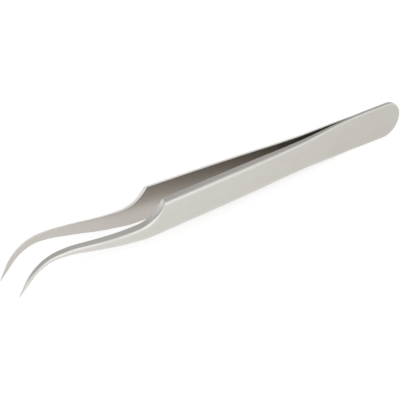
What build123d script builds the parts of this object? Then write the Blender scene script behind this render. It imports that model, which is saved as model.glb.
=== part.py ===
from build123d import *
import math
import os

# Curved fine-point tweezers, drawn in millimetres.
# Two steel blades, blanked and ground as mirror images, are welded face to face at the heel.
# While a blade is drawn it runs from its heel at X = 0 towards its point at X = -LENGTH,
# with the handle's centre line at Z = 0 and the weld face at Y = 0. Distances along it
# are given as u, counted from the heel end.

# Overall
LENGTH = 115.0
TIP_LENGTH = 41.3             # corner of the shoulder, where the handle ends, to the point
WELD_LENGTH = 19.5            # heel end to where the blades part
TIP_GAP = 8.29                # between the two inner faces at the points
PARALLEL_LENGTH = 21.8        # last stretch, where the inner faces run parallel
BEND_RADIUS = 60.0            # gentle bends of a blade's inner face

# Handle outline, seen from the side
HEEL_WIDTH = 9.5
HEEL_TOP_RADIUS = 3.7
HEEL_BOTTOM_RADIUS = 5.1
WELD_FRONT_WIDTH = 9.26       # where the blades part
WAIST_AT = 31.0
WAIST_WIDTH = 8.37
GRIP_SHARE = 0.56             # of the way from the waist to the shoulder, where the grip starts
GRIP_WIDTH = 8.94
SHOULDER_WIDTH = 9.02

# Thickness of one blade, and how far its long edges lean away from square
HEEL_THICKNESS = 0.55
WELD_FRONT_THICKNESS = 0.72
WAIST_THICKNESS = 1.38
GRIP_THICKNESS = 1.65
HEEL_EDGE_SLOPE = 8.0         # degrees, where the weld is dressed flush
EDGE_SLOPE = 23.0             # degrees, from the waist to the point
RIDGE_RADIUS = 0.25           # between a long edge and the outer face of the handle

# Ground tip: a scoop in front of the shoulder, a slow rise from the neck, a crest,
# a tight hook and a straight point. The rise takes up what the others leave of the length.
SCOOP_RADIUS = 8.26
NECK_LENGTH = 8.31            # shoulder to the neck, where the rise starts
NECK_WIDTH = 4.41
NECK_DROP = 1.9               # neck's centre below the handle's centre line
NECK_THICKNESS = 1.72
NECK_ANGLE = 3.33             # degrees that the neck already climbs
NECK_RADIUS = 70.0
RISE_ANGLE = 10.0             # degrees
CREST_RADIUS = 31.2
CREST_WIDTH = 2.04
CREST_THICKNESS = 1.55
HOOK_RADIUS = 10.8
HOOK_ANGLE = 52.9             # degrees
HOOK_WIDTH = 1.32             # where the straight point starts
HOOK_THICKNESS = 0.79
POINT_LENGTH = 4.21
POINT_WIDTH = 0.18
POINT_THICKNESS = 0.15
TIP_RIDGE_RADIUS = 0.4

# Half-round form of the tip: its outer face leans in to a foot near the bottom edge
NECK_FOOT = 0.97              # how far out the foot stands, as a share of the thickness
TIP_FOOT = 0.68
FOOT_RISE = 0.15              # foot above the bottom edge, as a share of the width
RIDGE_SHARE = 0.25            # largest ridge radius, as a share of the thickness

# Sections that the surfaces are drawn through, after the first one of each stretch
HANDLE_COUNT = 16
REACH_COUNT = 12
HOOK_COUNT = 5
POINT_COUNT = 2
FACET_SHARE = 0.65            # of the scoop's turn, which the wheel grinds square to the blade
FACET_STATIONS = (0.3, 0.6)   # along the stock above that facet
NEAR_WELD = 0.3               # of the thickness that a blade gains in the second half of the weld
NEAR_GRIP = 0.75              # of the thickness that it gains halfway from the waist to the grip

TRIM = 1.0                    # stock that is ground off inside the inner face
SCOOP_CLEAR = 0.03            # the wheel runs out this far above the lower end of the scoop
HEEL_CLEAR = 0.02             # stock dressed off where the heel's rounds meet its long edges

# Worked out
SHOULDER_AT = LENGTH - TIP_LENGTH
GRIP_AT = WAIST_AT + (SHOULDER_AT - WAIST_AT) * GRIP_SHARE


def between(start, end, share):
    return start + (end - start) * share


def halfway(start, end):
    return (start + end) / 2


def eased(share):
    """A share that starts and ends gently, and stays at 1 from there on."""
    share = min(share, 1.0)
    return share * share * (3 - 2 * share)


def inner_offset(u):
    """Distance of the inner face from the weld face."""
    run = LENGTH - PARALLEL_LENGTH - WELD_LENGTH
    share = min(max((u - WELD_LENGTH) / run, 0.0), 1.0)
    return share * TIP_GAP / 2


def blade_section(top, bottom, thick, slope, ridge, foot_out, foot_up):
    """One cross-section of a blade, between its top and bottom inner corners.

    top and bottom are (u, z). The top edge falls away outwards at slope degrees to a rounded
    ridge at full thickness, and the outer face ends below in a rounded foot.
    """
    centre_u = (top[0] + bottom[0]) / 2
    centre_z = (top[1] + bottom[1]) / 2
    half = math.dist(top, bottom) / 2
    up = Vector(bottom[0] - top[0], 0, top[1] - bottom[1])
    outward = Vector(0, -1, 0)
    plane = Plane(
        origin=(-centre_u, -inner_offset(centre_u), centre_z),
        x_dir=outward,
        z_dir=outward.cross(up),
    )
    fall = math.tan(math.radians(slope))
    outline = FilletPolyline(
        (-TRIM, -half - TRIM * foot_up / foot_out),
        (foot_out, foot_up - half),
        (thick, half - thick * fall),
        (-TRIM, half + TRIM * fall),
        radius=(ridge, ridge),
    )
    return plane * make_face(outline + Line(outline @ 1, outline @ 0))


def handle_section(u, width, thick, slope):
    """A handle section is upright, and the same above and below its centre."""
    fall = thick * math.tan(math.radians(slope))
    ridge = min(RIDGE_RADIUS, thick * RIDGE_SHARE)
    return blade_section((u, width / 2), (u, -width / 2), thick, slope, ridge, thick, fall)


def shoulder_section():
    return handle_section(SHOULDER_AT, SHOULDER_WIDTH, GRIP_THICKNESS, EDGE_SLOPE)


def handle():
    """Blade from just behind the heel end to the shoulder's corner.

    A flat plate at the heel, then a smooth skin over its place, width and thickness in turn.
    """
    plate_end = WELD_LENGTH / 2
    heel = loft(
        [
            handle_section(-TRIM, HEEL_WIDTH, HEEL_THICKNESS, HEEL_EDGE_SLOPE),
            handle_section(plate_end, HEEL_WIDTH, HEEL_THICKNESS, HEEL_EDGE_SLOPE),
        ],
        ruled=True,
    )
    near_weld = between(HEEL_THICKNESS, WELD_FRONT_THICKNESS, NEAR_WELD)
    near_grip = between(WAIST_THICKNESS, GRIP_THICKNESS, NEAR_GRIP)
    measures = Spline(
        (plate_end, HEEL_WIDTH, HEEL_THICKNESS),
        (halfway(plate_end, WELD_LENGTH), halfway(HEEL_WIDTH, WELD_FRONT_WIDTH), near_weld),
        (WELD_LENGTH, WELD_FRONT_WIDTH, WELD_FRONT_THICKNESS),
        (WAIST_AT, WAIST_WIDTH, WAIST_THICKNESS),
        (halfway(WAIST_AT, GRIP_AT), halfway(WAIST_WIDTH, GRIP_WIDTH), near_grip),
        (GRIP_AT, GRIP_WIDTH, GRIP_THICKNESS),
        (SHOULDER_AT, SHOULDER_WIDTH, GRIP_THICKNESS),
        tangents=((1, 0, 0), (1, 0, 0)),
    )
    sections = []
    for step in range(HANDLE_COUNT + 1):
        spot = measures @ (step / HANDLE_COUNT)
        share = (spot.X - plate_end) / (WAIST_AT - plate_end)
        slope = between(HEEL_EDGE_SLOPE, EDGE_SLOPE, eased(share))
        sections.append(handle_section(spot.X, spot.Y, spot.Z, slope))
    return heel + loft(sections)


def tip_line():
    """Centre line of the tip: the reach from the neck to the crest's end, hook and point."""
    neck_at = SHOULDER_AT + NECK_LENGTH
    climb = math.radians(NECK_ANGLE)
    steep = math.radians(RISE_ANGLE)
    dive = math.radians(HOOK_ANGLE)
    neck_run = NECK_RADIUS * (math.sin(steep) - math.sin(climb))
    end_run = CREST_RADIUS * math.sin(steep) + HOOK_RADIUS * math.sin(dive)
    point_run = POINT_LENGTH * math.cos(dive)
    rise_length = (LENGTH - neck_at - neck_run - end_run - point_run) / math.cos(steep)

    start = Vector(math.cos(climb), math.sin(climb))
    neck = JernArc((neck_at, -NECK_DROP), start, NECK_RADIUS, RISE_ANGLE - NECK_ANGLE)
    rise = Line(neck @ 1, (neck @ 1) + (neck % 1) * rise_length)
    crest = JernArc(rise @ 1, rise % 1, CREST_RADIUS, -RISE_ANGLE)
    hook = JernArc(crest @ 1, crest % 1, HOOK_RADIUS, -HOOK_ANGLE)
    point = Line(hook @ 1, (hook @ 1) + (hook % 1) * POINT_LENGTH)
    return Wire([neck, rise, crest]), hook, point


def across(curve, at, width):
    """Top and bottom of a section that is square to a curve."""
    spot = curve @ at
    along = curve % at
    half = width / 2
    top = (spot.X - along.Y * half, spot.Y + along.X * half)
    bottom = (spot.X + along.Y * half, spot.Y - along.X * half)
    return top, bottom


def tip_section(top, bottom, thick, foot, ridge):
    """A tip section leans in from its ridge to a foot that shares its thickness."""
    fall = thick * math.tan(math.radians(EDGE_SLOPE))
    rounding = (foot - TIP_FOOT) / (1 - TIP_FOOT)
    foot_up = between(FOOT_RISE * math.dist(top, bottom), fall, rounding)
    return blade_section(top, bottom, thick, EDGE_SLOPE, ridge, foot * thick, foot_up)


def stretch(curve, count, start, end):
    """Sections along a curve after its first point.

    start and end are (width, thickness, foot), and the sections change evenly between them.
    """
    sections = []
    for step in range(1, count + 1):
        at = step / count
        width, thick, foot = (between(a, b, at) for a, b in zip(start, end))
        top, bottom = across(curve, at, width)
        ridge = min(TIP_RIDGE_RADIUS, thick * RIDGE_SHARE)
        sections.append(tip_section(top, bottom, thick, foot, ridge))
    return sections


def scoop():
    """Radius, centre and starting turn of the scoop, which starts at the shoulder's corner."""
    neck_top = across(tip_line()[0], 0, NECK_WIDTH)[0]
    depth = SHOULDER_WIDTH / 2 - neck_top[1]
    start = math.acos(1 - depth / SCOOP_RADIUS)
    centre = (SHOULDER_AT + SCOOP_RADIUS * math.sin(start), neck_top[1] + SCOOP_RADIUS)
    return centre, start


def scoop_wheel():
    """Room that a grinding wheel takes out in front of the shoulder, square to the blade."""
    centre, _ = scoop()
    width = 4 * (TIP_GAP + GRIP_THICKNESS)
    return Pos(-centre[0], 0, centre[1]) * Rot(90, 0, 0) * Cylinder(SCOOP_RADIUS, width)


def scoop_sections(neck_bottom, belly_end):
    """Sections between the shoulder and the neck, which stand above the scoop at first.

    The wheel cuts the first ones down to its own radius. The last ones already lie along it.
    """
    centre, start = scoop()
    corner = (SHOULDER_AT, SHOULDER_WIDTH / 2)
    around = SCOOP_RADIUS + SCOOP_CLEAR
    arc = [
        (centre[0] - around * math.sin(turn), centre[1] - around * math.cos(turn))
        for turn in (start * (1 - FACET_SHARE), start * (1 - FACET_SHARE) / 2)
    ]
    leave = start * (1 - FACET_SHARE)
    stock = Spline(corner, arc[0], tangents=((1, 0), (math.cos(leave), -math.sin(leave))))
    tops = [((stock @ at).X, (stock @ at).Y) for at in FACET_STATIONS] + arc
    belly = Spline((corner[0], -corner[1]), neck_bottom, tangents=((1, 0), belly_end))
    sections = []
    for top in tops:
        share = (top[0] - corner[0]) / (neck_bottom[0] - corner[0])
        below = belly @ share
        thick = between(GRIP_THICKNESS, NECK_THICKNESS, share)
        foot = between(1.0, NECK_FOOT, share)
        ridge = between(RIDGE_RADIUS, TIP_RIDGE_RADIUS, share)
        sections.append(tip_section(top, (below.X, below.Y), thick, foot, ridge))
    return sections


def tip():
    """Blade from the shoulder's corner to the point."""
    reach, hook, point = tip_line()
    neck_top, neck_bottom = across(reach, 0, NECK_WIDTH)
    at_neck = (NECK_WIDTH, NECK_THICKNESS, NECK_FOOT)
    at_crest = (CREST_WIDTH, CREST_THICKNESS, TIP_FOOT)
    at_hook = (HOOK_WIDTH, HOOK_THICKNESS, TIP_FOOT)
    at_point = (POINT_WIDTH, POINT_THICKNESS, TIP_FOOT)
    neck = tip_section(neck_top, neck_bottom, NECK_THICKNESS, NECK_FOOT, TIP_RIDGE_RADIUS)
    next_width = between(NECK_WIDTH, CREST_WIDTH, 1 / REACH_COUNT)
    next_bottom = across(reach, 1 / REACH_COUNT, next_width)[1]
    belly_end = (next_bottom[0] - neck_bottom[0], next_bottom[1] - neck_bottom[1])
    shoulder = loft([shoulder_section()] + scoop_sections(neck_bottom, belly_end) + [neck])
    ground = loft(
        [neck]
        + stretch(reach, REACH_COUNT, at_neck, at_crest)
        + stretch(hook, HOOK_COUNT, at_crest, at_hook)
        + stretch(point, POINT_COUNT, at_hook, at_point)
    )
    return (shoulder - scoop_wheel()) + ground


def outward_room():
    """Room outside a blade's inner face, which is flat at the weld and then bent open."""
    far = 2 * TIP_GAP + 2 * GRIP_THICKNESS
    end = LENGTH + TRIM
    inner = FilletPolyline(
        (2 * TRIM, 0),
        (-WELD_LENGTH, 0),
        (PARALLEL_LENGTH - LENGTH, -TIP_GAP / 2),
        (-end, -TIP_GAP / 2),
        radius=BEND_RADIUS,
    )
    back = Polyline(inner @ 1, (-end, -far), (2 * TRIM, -far), inner @ 0)
    return extrude(make_face(inner + back), LENGTH, both=True)


def heel_room():
    """Room inside the rounded heel end, open towards the tip."""
    half = HEEL_WIDTH / 2 + HEEL_CLEAR
    end = LENGTH + TRIM
    fit = min(1, HEEL_WIDTH / (HEEL_TOP_RADIUS + HEEL_BOTTOM_RADIUS))
    outline = FilletPolyline(
        (-end, half),
        (0, half),
        (0, -half),
        (-end / 2, -half),
        (-end / 2, -LENGTH),
        (-end, -LENGTH),
        radius=(HEEL_TOP_RADIUS * fit, HEEL_BOTTOM_RADIUS * fit, 0, 0),
    )
    side = make_face(outline + Line(outline @ 1, outline @ 0))
    return extrude(Plane.XZ * side, LENGTH, both=True)


def front_blade():
    return (handle() + tip()) & outward_room() & heel_room()


def rest_tilt():
    """Degrees that stand the blade on its point and the round of its heel's lower corner."""
    point = tip_line()[-1] @ 1
    across_u = point.X - HEEL_BOTTOM_RADIUS
    drop = HEEL_WIDTH / 2 - HEEL_BOTTOM_RADIUS
    down = -point.Y - drop
    reach = math.hypot(across_u, down)
    return math.degrees(math.atan2(down, across_u) - math.asin(HEEL_BOTTOM_RADIUS / reach))


def main():
    front = Rot(0, rest_tilt(), 0) * front_blade()
    rear = mirror(front, Plane.XZ)
    box = front.bounding_box()
    place = Pos(-box.center().X, 0, -box.min.Z)
    os.makedirs("parts", exist_ok=True)
    export_step(place * front, "parts/front_blade.step")
    export_step(place * rear, "parts/rear_blade.step")


main()
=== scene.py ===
import math

import bpy
from mathutils import Matrix, Vector


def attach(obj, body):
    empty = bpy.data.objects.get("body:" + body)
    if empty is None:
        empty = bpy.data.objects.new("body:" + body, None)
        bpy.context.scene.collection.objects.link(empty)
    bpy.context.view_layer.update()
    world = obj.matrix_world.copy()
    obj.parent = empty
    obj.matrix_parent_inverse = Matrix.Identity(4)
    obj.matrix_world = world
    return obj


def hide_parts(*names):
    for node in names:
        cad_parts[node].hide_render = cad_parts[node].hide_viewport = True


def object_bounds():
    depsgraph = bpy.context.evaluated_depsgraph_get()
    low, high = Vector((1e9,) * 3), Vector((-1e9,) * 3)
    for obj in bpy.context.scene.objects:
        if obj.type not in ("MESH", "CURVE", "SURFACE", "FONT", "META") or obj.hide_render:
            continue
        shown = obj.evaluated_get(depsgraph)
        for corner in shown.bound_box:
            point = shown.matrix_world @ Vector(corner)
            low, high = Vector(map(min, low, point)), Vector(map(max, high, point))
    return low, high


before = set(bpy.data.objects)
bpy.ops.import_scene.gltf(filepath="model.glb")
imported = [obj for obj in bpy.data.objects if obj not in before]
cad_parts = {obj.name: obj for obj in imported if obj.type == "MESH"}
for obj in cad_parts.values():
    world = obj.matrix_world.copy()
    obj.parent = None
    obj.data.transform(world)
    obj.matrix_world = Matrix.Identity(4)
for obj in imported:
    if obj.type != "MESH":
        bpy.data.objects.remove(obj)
cad_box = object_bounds()

# Camera
# A long lens above and in front, on the side of the points, so that the tweezers run from the
# lower left of the picture to the upper right. Lengths are in metres.
AZIMUTH = math.radians(-34.362)
ELEVATION = math.radians(32.966)
ROLL = math.radians(-1.701)
DISTANCE = 0.63983
AIM_RIGHT = -0.002861              # of the camera from the frame's origin, across the picture
AIM_UP = 0.001628                  # and up it
LENS = 237.80                      # millimetres, on the sensor
SENSOR = 36
NEAR, FAR = 0.01, 20

ca, sa = math.cos(AZIMUTH), math.sin(AZIMUTH)
ce, se = math.cos(ELEVATION), math.sin(ELEVATION)
back = Vector((sa * ce, -ca * ce, se))
level_right = Vector((ca, sa, 0))
level_up = back.cross(level_right)
right = level_right * math.cos(ROLL) + level_up * math.sin(ROLL)
up = level_up * math.cos(ROLL) - level_right * math.sin(ROLL)

lens = bpy.data.cameras.new("camera")
lens.sensor_width = SENSOR
lens.lens = LENS
lens.clip_start = NEAR
lens.clip_end = FAR
camera = bpy.data.objects.new("camera", lens)
bpy.context.scene.collection.objects.link(camera)
turn = Matrix((right, up, back)).transposed().to_4x4()
place = right * AIM_RIGHT + up * AIM_UP + back * DISTANCE
camera.matrix_world = Matrix.Translation(place) @ turn
bpy.context.scene.camera = camera
bpy.context.scene.view_settings.view_transform = "Standard"

# Blades
# Two spring steel blades, blanked, then ground to one outline with a scooped shoulder and a
# slim hooked tip. They are mirror images, laid face to face and resistance welded at the heel,
# where the weld is dressed flush. Each is drawn as rings along its length, in millimetres.
LENGTH = 115.0
WELD_LENGTH = 15.2                 # from the heel's end to where the blades part
PARALLEL_AT = 93.2                 # from here on the inner faces run parallel
TIP_GAP = 8.29                     # between the two inner faces at the points
BEND_RADIUS = 60.0                 # gentle bends of a blade's inner face
REST_TILT = math.radians(0.993)    # the blades rest on their points and the heel's lower round

# Heel and handle
HEEL_WIDTH = 9.5
HEEL_THICKNESS = 0.55
HEEL_LEAN = 8.0                    # degrees that the long edges lean away from square
HEEL_TOP_RADIUS = 3.7
HEEL_BOTTOM_RADIUS = 5.1
PLATE_END = 9.75                   # the heel is an even plate up to here
SHOULDER_AT = 73.7
SHOULDER_WIDTH = 9.02
GRIP_THICKNESS = 1.65
HANDLE_LEAN = 20.5
# distance from the heel, width, thickness of one blade, lean of its long edges
HANDLE = (
    (0.0, HEEL_WIDTH, HEEL_THICKNESS, HEEL_LEAN),
    (PLATE_END, HEEL_WIDTH, HEEL_THICKNESS, HEEL_LEAN),
    (14.6, 9.38, 0.60, 10.7),
    (19.5, 9.26, 0.70, 14.6),
    (25.0, 8.81, 0.88, 19.5),
    (31.0, 8.38, 1.10, HANDLE_LEAN),
    (37.0, 8.40, 1.26, HANDLE_LEAN),
    (43.0, 8.65, 1.45, HANDLE_LEAN),
    (49.0, 8.83, 1.57, HANDLE_LEAN),
    (55.0, 8.94, 1.63, HANDLE_LEAN),
    (64.0, 9.01, GRIP_THICKNESS, HANDLE_LEAN),
    (SHOULDER_AT, SHOULDER_WIDTH, GRIP_THICKNESS, HANDLE_LEAN),
)
WIDTH, THICKNESS, LEAN = 1, 2, 3   # the table's columns

# Scoop that the wheel grinds into the upper edge in front of the shoulder
SCOOP_RADIUS = 8.26
SCOOP_TOP = SHOULDER_WIDTH / 2     # the upper edge's height above the handle's middle
SCOOP_AFTER = 0.45                 # from the shoulder to where the scoop meets the upper edge
CORNER_SHARPNESS = 9.0             # of the shoulder's corner, per millimetre
BELLY_RATE = 0.235                 # how steeply the lower edge climbs as it reaches the neck
FACET_FADE_IN = 0.3                # the grinding marks start at the shoulder
FACET_END = 79.5
FACET_FADE_OUT = 2.5

# Tip: an arc at the neck, a straight rise, the crest, the hook and the point. The rise takes
# up what the others leave of the length.
NECK_AT = 82.01
NECK_DROP = 1.9                    # of the tip's centre line at the neck, below the handle's
NECK_ANGLE = math.radians(3.33)
NECK_RADIUS = 70.0
NECK_WIDTH = 4.41
NECK_THICKNESS = 1.72
RISE_ANGLE = math.radians(10.0)
CREST_RADIUS = 31.2
CREST_WIDTH = 2.04                 # where the hook starts
CREST_THICKNESS = 1.55
HOOK_ANGLE = math.radians(52.9)
HOOK_RADIUS = 10.8
HOOK_WIDTH = 1.32                  # where the straight point starts
HOOK_THICKNESS = 0.79
POINT_LENGTH = 4.21
POINT_WIDTH = 0.18
POINT_THICKNESS = 0.15
TIP_LEAN = 23.0

# Section: the ridge and the foot are the upper and lower corners of the outer face. The foot
# stands out by a share of the thickness, which falls from the shoulder to the crest.
SHOULDER_FOOT = 1.0
NECK_FOOT = 0.97
TIP_FOOT = 0.68
FOOT_RISE = 0.15                   # share of the tip's width from the lower edge up to the foot
RIDGE_RADIUS = 1.0
TIP_RIDGE_RADIUS = 0.8
RIDGE_SHARE = 0.6                  # the most that a ridge's radius takes of the thickness
TIP_RIDGE_SHARE = 0.47
EDGE_BREAK = 0.09                  # radius of the inner face's broken edges
EDGE_BREAK_SHARE = 0.08            # the most that it takes of a thin tip
EDGE_BREAK_AT = 15.5               # behind the parting the edges meet sharp
EDGE_BREAK_RUN = 3.0
SHARP_SHARE = 0.03
MOST_OF_A_SIDE = 0.48              # that the round at one of its ends takes

# Fineness of the mesh
HEEL_RINGS = 26
FIRST_RING = 0.012                 # distance from the heel's end, which it closes with a flat
HANDLE_RINGS = 64
CORNER_BEFORE = 0.5                # from here the rings stand closer, around the shoulder
CORNER_RINGS = (-0.4, -0.25, -0.12, -0.02, 0.06, 0.14, 0.22, 0.3, 0.4, 0.52, 0.66, 0.82, 1.0)
SCOOP_RINGS = 24
TIP_STEP = 0.35
LEAST_TIP_STEPS = 8
ROUND_STEPS = (3, 8, 6, 3)         # upper edge, ridge, foot, lower edge
FLAT_SHARES = (0.04, 0.5, 0.96)    # close to its ends a flat keeps its own shading
ROUND_END_MARK = 0.6               # how much painted highlight a round's last points get, where 1 is its middle
ON_INNER_FACE = 0.002              # as near as this, a point counts as on the inner face
MAP_RING = 60                      # the girth here sets the map's scale around the blade


def between(start, end, share):
    return start + (end - start) * share


def limited(value, low=0.0, high=1.0):
    return min(max(value, low), high)


def smooth_law(table, at, column):
    """Value of a column at a distance, by a curve that never swings past its points."""
    at = limited(at, table[0][0], table[-1][0])
    last = len(table) - 1
    row = next(i for i in range(last) if at <= table[i + 1][0])

    def rate(i):
        if i <= 0 or i >= last:
            return 0.0
        before = (table[i][column] - table[i - 1][column]) / (table[i][0] - table[i - 1][0])
        after = (table[i + 1][column] - table[i][column]) / (table[i + 1][0] - table[i][0])
        return 0.0 if before * after <= 0 else 2 * before * after / (before + after)

    a, b = table[row], table[row + 1]
    run = b[0] - a[0]
    s = (at - a[0]) / run
    return (
        a[column] * (1 + 2 * s) * (1 - s) ** 2
        + b[column] * s * s * (3 - 2 * s)
        + rate(row) * run * s * (1 - s) ** 2
        + rate(row + 1) * run * s * s * (s - 1)
    )


def inner_offset(u):
    """Distance of the inner face from the weld face, with a gentle bend at both ends."""
    slope = TIP_GAP / 2 / (PARALLEL_AT - WELD_LENGTH)
    half = BEND_RADIUS * math.tan(math.atan(slope) / 2)

    def bent(x):
        return 0.0 if x < -half else x if x > half else (x + half) ** 2 / (4 * half)

    return slope * (bent(u - WELD_LENGTH) - bent(u - PARALLEL_AT))


def corner_arc(corner, before, after, radius, steps):
    """Points around a rounded corner, from the side of one neighbour to the other's."""
    a = (before - corner).normalized()
    b = (after - corner).normalized()
    half = a.angle(b) / 2
    shorter = min((before - corner).length, (after - corner).length)
    reach = min(radius / math.tan(half), shorter * MOST_OF_A_SIDE)
    radius = reach * math.tan(half)
    centre = corner + (a + b).normalized() * (radius / math.sin(half))
    start = corner + a * reach - centre
    end = corner + b * reach - centre
    spread = start.angle(end)
    points = []
    for step in range(steps + 1):
        s = step / steps
        part = start * math.sin((1 - s) * spread) + end * math.sin(s * spread)
        points.append(centre + part / math.sin(spread))
    return points


def ring(top, bottom, thick, lean, ridge, foot_out, foot_up, edge):
    """Points of one section as (u, z, out from the inner face), each with its marks.

    The marks are how much a point lies on a rounded edge, and whether it lies on the flat
    between the upper edge and the ridge.
    """
    top, bottom = Vector(top), Vector(bottom)
    half = (top - bottom).length / 2
    upward = (top - bottom).normalized()
    middle = (top + bottom) / 2
    corners = (
        Vector((0, half)),
        Vector((thick, half - thick * math.tan(math.radians(lean)))),
        Vector((foot_out, foot_up - half)),
        Vector((0, -half)),
    )
    arcs = []
    for i, (corner, radius, steps) in enumerate(
        zip(corners, (edge, ridge, ridge, edge), ROUND_STEPS)
    ):
        arcs.append(corner_arc(corner, corners[i - 1], corners[(i + 1) % 4], radius, steps))
    marked = []
    for i, arc in enumerate(arcs):
        for step, spot in enumerate(arc):
            inside = 0 < step < len(arc) - 1
            marked.append((spot, 1.0 if inside else ROUND_END_MARK, 0.0))
        for share in FLAT_SHARES:
            spot = arc[-1].lerp(arcs[(i + 1) % 4][0], share)
            marked.append((spot, 0.0, 1.0 if i == 0 else 0.0))
    points = []
    for spot, on_edge, on_top_flat in marked:
        place = middle + upward * spot.y
        points.append((place.x, place.y, spot.x, on_edge, on_top_flat))
    return points


def heel_height(u, half, radius):
    """Height of an edge from the heel's middle, on the round of its end or past it."""
    if u >= radius:
        return half
    return half - radius + math.sqrt(radius**2 - (radius - u) ** 2)


def handle_rings():
    """Rings of the heel and handle, upright, with the heel's two rounds."""
    quarter = math.pi / 2
    stops = [FIRST_RING]
    for i in range(1, HEEL_RINGS + 1):
        stops.append(HEEL_BOTTOM_RADIUS * (1 - math.cos(quarter * i / HEEL_RINGS)))
    heel_end, handle_end = stops[-1], SHOULDER_AT - CORNER_BEFORE
    for i in range(1, HANDLE_RINGS + 1):
        stops.append(between(heel_end, handle_end, i / HANDLE_RINGS))
    rings = []
    for u in stops:
        width, thick, lean = (smooth_law(HANDLE, u, column) for column in (WIDTH, THICKNESS, LEAN))
        top = heel_height(u, width / 2, HEEL_TOP_RADIUS)
        bottom = heel_height(u, width / 2, HEEL_BOTTOM_RADIUS)
        ridge = min(RIDGE_RADIUS, thick * RIDGE_SHARE)
        edge = EDGE_BREAK * limited((u - EDGE_BREAK_AT) / EDGE_BREAK_RUN, SHARP_SHARE)
        fall = thick * math.tan(math.radians(lean))
        rings.append((u, ring((u, top), (u, -bottom), thick, lean, ridge, thick, fall, edge)))
    return rings


def tip_path():
    """Stops along the tip's centre line as (u, z, heading, width, thickness, foot share)."""
    neck_run = NECK_RADIUS * (math.sin(RISE_ANGLE) - math.sin(NECK_ANGLE))
    end_run = CREST_RADIUS * math.sin(RISE_ANGLE) + HOOK_RADIUS * math.sin(HOOK_ANGLE)
    point_run = POINT_LENGTH * math.cos(HOOK_ANGLE)
    rise = (LENGTH - NECK_AT - neck_run - end_run - point_run) / math.cos(RISE_ANGLE)
    neck = NECK_RADIUS * (RISE_ANGLE - NECK_ANGLE)
    crest = CREST_RADIUS * RISE_ANGLE
    reach = neck + rise + crest

    at_neck = (NECK_WIDTH, NECK_THICKNESS, NECK_FOOT)
    at_crest = (CREST_WIDTH, CREST_THICKNESS, TIP_FOOT)

    def on_reach(done):
        return [between(start, end, done / reach) for start, end in zip(at_neck, at_crest)]

    # length, turn and the measures at the end of each part
    parts = (
        (neck, RISE_ANGLE - NECK_ANGLE, on_reach(neck)),
        (rise, 0.0, on_reach(neck + rise)),
        (crest, -RISE_ANGLE, at_crest),
        (HOOK_RADIUS * HOOK_ANGLE, -HOOK_ANGLE, (HOOK_WIDTH, HOOK_THICKNESS, TIP_FOOT)),
        (POINT_LENGTH, 0.0, (POINT_WIDTH, POINT_THICKNESS, TIP_FOOT)),
    )
    u, z, heading = NECK_AT, -NECK_DROP, NECK_ANGLE
    stops = [(u, z, heading, *at_neck)]
    measures = at_neck
    for length, bend, end_measures in parts:
        steps = max(LEAST_TIP_STEPS, round(length / TIP_STEP))
        for step in range(1, steps + 1):
            middle = heading + bend * (step - 0.5) / steps
            u += math.cos(middle) * length / steps
            z += math.sin(middle) * length / steps
            share = step / steps
            now = (between(start, end, share) for start, end in zip(measures, end_measures))
            stops.append((u, z, heading + bend * share, *now))
        heading += bend
        measures = end_measures
    return stops


def tip_ring(top, bottom, thick, foot, ridge, lean):
    """Section of the scoop or tip. Its foot goes from the handle's place to the tip's own."""
    fall = thick * math.tan(math.radians(lean))
    fullness = (foot - TIP_FOOT) / (SHOULDER_FOOT - TIP_FOOT)
    foot_up = between(FOOT_RISE * math.dist(top, bottom), fall, fullness)
    edge = min(EDGE_BREAK, thick * EDGE_BREAK_SHARE)
    return ring(top, bottom, thick, lean, ridge, foot * thick, foot_up, edge)


def scoop_rings(path):
    """Rings from the shoulder's corner to the neck, under the round that the wheel leaves."""
    _, z, heading, width, _, _ = path[0]
    across = math.cos(heading) * width / 2
    belly_end = NECK_AT + math.sin(heading) * width / 2
    run = belly_end - SHOULDER_AT
    climb = z - across + SCOOP_TOP

    depth = SCOOP_TOP - (z + across)
    half_scoop = SCOOP_RADIUS * math.sin(math.acos(1 - depth / SCOOP_RADIUS))
    centre_u = SHOULDER_AT + SCOOP_AFTER + half_scoop
    centre_z = z + across + SCOOP_RADIUS

    stops = [SHOULDER_AT + place for place in CORNER_RINGS]
    corner_end = stops[-1]
    stops += [between(corner_end, NECK_AT, i / SCOOP_RINGS) for i in range(1, SCOOP_RINGS)]
    handle_ridge = min(RIDGE_RADIUS, GRIP_THICKNESS * RIDGE_SHARE)
    rings = []
    for u in stops:
        from_centre = min(u - centre_u, 0)
        arc_top = centre_z - math.sqrt(max(SCOOP_RADIUS**2 - from_centre**2, 0))
        # a soft minimum rounds the corner where the scoop meets the upper edge
        meeting = sum(math.exp(-CORNER_SHARPNESS * height) for height in (SCOOP_TOP, arc_top))
        top = -math.log(meeting) / CORNER_SHARPNESS
        s = limited((u - SHOULDER_AT) / run)
        belly = climb * s * s * (3 - 2 * s) + BELLY_RATE * run * s * s * (s - 1) - SCOOP_TOP
        thick = between(GRIP_THICKNESS, NECK_THICKNESS, s)
        foot = between(SHOULDER_FOOT, NECK_FOOT, s)
        ridge = between(handle_ridge, TIP_RIDGE_RADIUS, s)
        lean = between(HANDLE_LEAN, TIP_LEAN, s)
        rings.append((u, tip_ring((u, top), (u, belly), thick, foot, ridge, lean)))
    return rings


def tip_rings(path):
    """Rings square to the tip's centre line, from the neck to the end of the point."""
    rings = []
    for u, z, heading, width, thick, foot in path:
        side = Vector((-math.sin(heading), math.cos(heading))) * width / 2
        middle = Vector((u, z))
        ridge = min(TIP_RIDGE_RADIUS, thick * TIP_RIDGE_SHARE)
        rings.append((u, tip_ring(middle + side, middle - side, thick, foot, ridge, TIP_LEAN)))
    return rings


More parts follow.
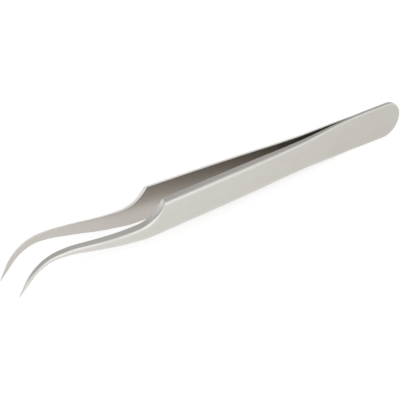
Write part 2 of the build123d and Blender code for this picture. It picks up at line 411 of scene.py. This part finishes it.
def ring_faces(count, size):
    """Quads between each ring and the next."""
    faces = []
    for r in range(count - 1):
        for i in range(size):
            j = (i + 1) % size
            faces.append((r * size + i, r * size + j, (r + 1) * size + j, (r + 1) * size + i))
    return faces


def map_blade(mesh, points, along, count, size):
    """Map at one scale, drawn out along the blade and wrapped once around it."""
    around = [0.0]
    first = MAP_RING * size
    for i in range(size):
        j = (i + 1) % size
        around.append(around[-1] + (points[first + j] - points[first + i]).length * 1000)
    uv = mesh.uv_layers.new(name="along_the_blade")
    for face in mesh.polygons:
        spots = [mesh.loops[k].vertex_index for k in face.loop_indices]
        turns = [spot % size if spot < count * size else size // 2 for spot in spots]
        wraps = max(turns) - min(turns) > size / 2
        for k, spot, i in zip(face.loop_indices, spots, turns):
            i = size if wraps and i == 0 else i
            uv.data[k].uv = (along[spot] / LENGTH, around[i] / LENGTH)


def blade_mesh(name, side):
    """One blade as a mesh in metres. side is -1 for the front blade and 1 for the rear one."""
    path = tip_path()
    rings = handle_rings() + scoop_rings(path) + tip_rings(path)
    count, size = len(rings), len(rings[0][1])
    points, along = [], []
    marks = {"edge": [], "ground_facet": [], "inner_face": []}
    for ring_at, section in rings:
        on_scoop = limited((ring_at - SHOULDER_AT) / FACET_FADE_IN)
        on_scoop *= limited((FACET_END - ring_at) / FACET_FADE_OUT)
        for u, z, out, on_edge, on_top_flat in section:
            x = -u * math.cos(REST_TILT) + z * math.sin(REST_TILT)
            height = u * math.sin(REST_TILT) + z * math.cos(REST_TILT)
            points.append(Vector((x, side * (inner_offset(u) + out), height)) / 1000)
            along.append(ring_at)
            marks["edge"].append(on_edge)
            marks["ground_facet"].append(on_top_flat * on_scoop)
            marks["inner_face"].append(1.0 if out < ON_INNER_FACE else 0.0)

    faces = ring_faces(count, size)
    for r in (0, count - 1):
        end_ring = range(r * size, (r + 1) * size)
        points.append(sum((points[i] for i in end_ring), Vector()) / size)
        along.append(rings[r][0])
        for values in marks.values():
            values.append(0.0)
        for i in end_ring:
            j = end_ring.start + (i + 1) % size
            faces.append((j, i, len(points) - 1) if r == 0 else (i, j, len(points) - 1))
    if side > 0:
        faces = [tuple(reversed(face)) for face in faces]

    mesh = bpy.data.meshes.new(name)
    mesh.from_pydata(points, [], faces)
    mesh.update()
    map_blade(mesh, points, along, count, size)
    for label, values in marks.items():
        layer = mesh.attributes.new(label, "FLOAT", "POINT")
        layer.data.foreach_set("value", values)
    mesh.shade_smooth()
    return mesh


def put_in_place(meshes, low, high):
    """Shift both blades alike, so that their points and heel stand where the CAD box ends."""
    everything = [vertex.co for mesh in meshes for vertex in mesh.vertices]
    shift = Vector((
        high.x - max(co.x for co in everything),
        0,
        low.z - min(co.z for co in everything),
    ))
    for mesh in meshes:
        mesh.transform(Matrix.Translation(shift))


# Satin steel: a fine grain along the blade, and on the scoop the coarser marks of the wheel that
# ran across it.
# Painted light and shade: a painted highlight on the rounded edges, the scoop's marks painted
# lighter, the inner faces painted darker, and painted shade that lightens from the heel to the
# tip.
# Painted shade: the steel's colour is darker at the heel and lightens towards the tip.
SHADED_HEEL_STEEL = (0.541, 0.520, 0.477, 1)
TIP_STEEL = (0.652, 0.632, 0.588, 1)
TIP_STEEL_GAIN = 1.3               # the tip's colour is reached before the point
CLOUDING = 0.5
# Painted highlight: the wheel's marks on the scoop are painted a lighter steel.
SHEEN_ON_GROUND_STEEL = (0.95, 0.935, 0.90, 1)
# Painted highlight: the rounded edges are painted a lighter steel.
EDGE_SHEEN_STEEL = (0.74, 0.725, 0.695, 1)
EDGE_SHEEN_SHARE = 0.5
# Painted shade: the inner faces, between the blades, are painted a darker steel.
SHADED_INNER_STEEL = (0.57, 0.54, 0.50, 1)
ROUGHNESS = 0.27
GRAIN_ROUGHNESS = 0.10
FACET_ROUGHNESS = 0.12
GRIND_DEPTH = 3.0                  # of the wheel's marks, where the grain's is 1
BUMP_STRENGTH = 0.12
BUMP_DISTANCE = 0.00003            # metres
# scales of the noises along the blade and around it
GRAIN_SCALE = (60, 2600, 1)
CLOUD_SCALE = (14, 60, 1)
GRIND_SCALE = (420, 200, 1)
NOISE_ROUGHNESS = 0.6

steel = bpy.data.materials.new("blade_steel")
steel.use_nodes = True
nodes = steel.node_tree.nodes
links = steel.node_tree.links
shader = nodes["Principled BSDF"]
shader.inputs["Metallic"].default_value = 1


def feed(socket, value):
    """Set a socket to a plain value, or link it to the output that the value comes from."""
    if isinstance(value, bpy.types.NodeSocket):
        links.new(value, socket)
    else:
        socket.default_value = value


def attribute(name):
    made = nodes.new("ShaderNodeAttribute")
    made.attribute_name = name
    return made.outputs["Fac"]


def calculated(operation, a, b):
    made = nodes.new("ShaderNodeMath")
    made.operation = operation
    feed(made.inputs[0], a)
    feed(made.inputs[1], b)
    return made.outputs[0]


def mixed(share, first, second):
    """Colour between two. A colour mix keeps its factor in socket 0 and its colours in 6, 7."""
    made = nodes.new("ShaderNodeMix")
    made.data_type = "RGBA"
    feed(made.inputs[0], share)
    feed(made.inputs[6], first)
    feed(made.inputs[7], second)
    return made.outputs[2]


def stretched_noise(scale, detail):
    """Noise on the blade's own map, drawn out along the blade or across it by the scale."""
    spread = nodes.new("ShaderNodeMapping")
    feed(spread.inputs["Scale"], scale)
    feed(spread.inputs["Vector"], blade_map)
    made = nodes.new("ShaderNodeTexNoise")
    feed(made.inputs["Vector"], spread.outputs[0])
    feed(made.inputs["Scale"], 1.0)
    feed(made.inputs["Detail"], detail)
    feed(made.inputs["Roughness"], NOISE_ROUGHNESS)
    return made.outputs["Fac"]


uv_map = nodes.new("ShaderNodeUVMap")
uv_map.uv_map = "along_the_blade"
blade_map = uv_map.outputs[0]
split_map = nodes.new("ShaderNodeSeparateXYZ")
feed(split_map.inputs[0], blade_map)
from_heel = split_map.outputs[0]

grain = stretched_noise(GRAIN_SCALE, 4.0)
cloud = stretched_noise(CLOUD_SCALE, 3.0)
cross_grind = stretched_noise(GRIND_SCALE, 4.0)
facet = attribute("ground_facet")
wheel_marks_and_sheen = calculated("MULTIPLY", facet, cross_grind)

clouding = calculated("MULTIPLY", calculated("SUBTRACT", cloud, 0.5), CLOUDING)
# Painted shade fading from the heel to the tip, with a random clouding of the tone.
heel_shade_fade_and_cloud = calculated("ADD", calculated("MULTIPLY", from_heel, TIP_STEEL_GAIN), clouding)
colour = mixed(heel_shade_fade_and_cloud, SHADED_HEEL_STEEL, TIP_STEEL)
# The scoop's wheel marks, painted lighter as a painted highlight; the same marks also give the
# bump below.
colour = mixed(wheel_marks_and_sheen, colour, SHEEN_ON_GROUND_STEEL)
# Painted highlight on the rounded edges.
colour = mixed(calculated("MULTIPLY", attribute("edge"), EDGE_SHEEN_SHARE), colour, EDGE_SHEEN_STEEL)
# Painted shade on the inner faces, between the blades.
colour = mixed(attribute("inner_face"), colour, SHADED_INNER_STEEL)
feed(shader.inputs["Base Color"], colour)

rough = calculated("ADD", calculated("MULTIPLY", grain, GRAIN_ROUGHNESS), ROUGHNESS)
rough = calculated("ADD", rough, calculated("MULTIPLY", facet, FACET_ROUGHNESS))
feed(shader.inputs["Roughness"], rough)

bump = nodes.new("ShaderNodeBump")
feed(bump.inputs["Strength"], BUMP_STRENGTH)
feed(bump.inputs["Distance"], BUMP_DISTANCE)
feed(bump.inputs["Height"], calculated(
    "ADD", grain, calculated("MULTIPLY", wheel_marks_and_sheen, GRIND_DEPTH)
))
feed(shader.inputs["Normal"], bump.outputs[0])

blades = {"front_blade": -1, "rear_blade": 1}
meshes = {name: blade_mesh(name + "_skin", side) for name, side in blades.items()}
put_in_place(list(meshes.values()), *cad_box)
for name, mesh in meshes.items():
    mesh.materials.append(steel)
    skin = bpy.data.objects.new(name + "_skin", mesh)
    bpy.context.scene.collection.objects.link(skin)
    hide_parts(name)
    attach(skin, "root")

# Light
# One broad softbox in front, high and a little towards the heel, lights the rounded ridges.
# The rest comes from a studio that is white low down and greyer overhead. Metres.
KEY_RADIANCE = 0.75
KEY_SIZE = 0.6
KEY_PLACE = Vector((0.104, -0.52, 0.377))
SKY_GREY = (0.56, 0.56, 0.57, 1)
SKY_WHITE_BELOW = 0.25             # upward part of the direction, where 1 is straight up
SKY_GREY_ABOVE = 0.72

key = bpy.data.lights.new("key", "AREA")
key.shape = "RECTANGLE"
key.size = KEY_SIZE
key.size_y = KEY_SIZE
key.energy = KEY_RADIANCE * math.pi * KEY_SIZE**2
key_box = bpy.data.objects.new("key", key)
bpy.context.scene.collection.objects.link(key_box)
key_turn = KEY_PLACE.to_track_quat("Z", "Y").to_matrix().to_4x4()
key_box.matrix_world = Matrix.Translation(KEY_PLACE) @ key_turn

world = bpy.data.worlds.new("studio")
bpy.context.scene.world = world
world.use_nodes = True
sky = world.node_tree
direction = sky.nodes.new("ShaderNodeTexCoord")
split = sky.nodes.new("ShaderNodeSeparateXYZ")
ramp = sky.nodes.new("ShaderNodeValToRGB")
sky.links.new(direction.outputs["Generated"], split.inputs[0])
sky.links.new(split.outputs["Z"], ramp.inputs[0])
sky.links.new(ramp.outputs[0], sky.nodes["Background"].inputs["Color"])
low_sky, high_sky = ramp.color_ramp.elements
low_sky.position = SKY_WHITE_BELOW
low_sky.color = (1, 1, 1, 1)
high_sky.position = SKY_GREY_ABOVE
high_sky.color = SKY_GREY

# Floor
# A sheet of white paper, which shows as white and keeps a faint shadow of the tweezers. Its
# glow counts only for the camera and in reflections.
PAPER_SIZE = 6                     # metres
PAPER_GREY = (0.5, 0.5, 0.5, 1)
PAPER_GLOW = 0.67

bpy.ops.mesh.primitive_plane_add(size=PAPER_SIZE)
floor = bpy.context.object
floor.name = "floor"
paper = bpy.data.materials.new("paper")
paper.use_nodes = True
sheet = paper.node_tree
cover = sheet.nodes["Principled BSDF"]
cover.inputs["Base Color"].default_value = PAPER_GREY
cover.inputs["Roughness"].default_value = 1
cover.inputs["Specular IOR Level"].default_value = 0
cover.inputs["Emission Color"].default_value = (1, 1, 1, 1)
light_path = sheet.nodes.new("ShaderNodeLightPath")
seen = light_path.outputs["Is Camera Ray"]
for way in ("Is Glossy Ray", "Is Transmission Ray"):
    either = sheet.nodes.new("ShaderNodeMath")
    either.operation = "MAXIMUM"
    sheet.links.new(seen, either.inputs[0])
    sheet.links.new(light_path.outputs[way], either.inputs[1])
    seen = either.outputs[0]
glow = sheet.nodes.new("ShaderNodeMath")
glow.operation = "MULTIPLY"
glow.inputs[1].default_value = PAPER_GLOW
sheet.links.new(seen, glow.inputs[0])
sheet.links.new(glow.outputs[0], cover.inputs["Emission Strength"])
floor.data.materials.append(paper)
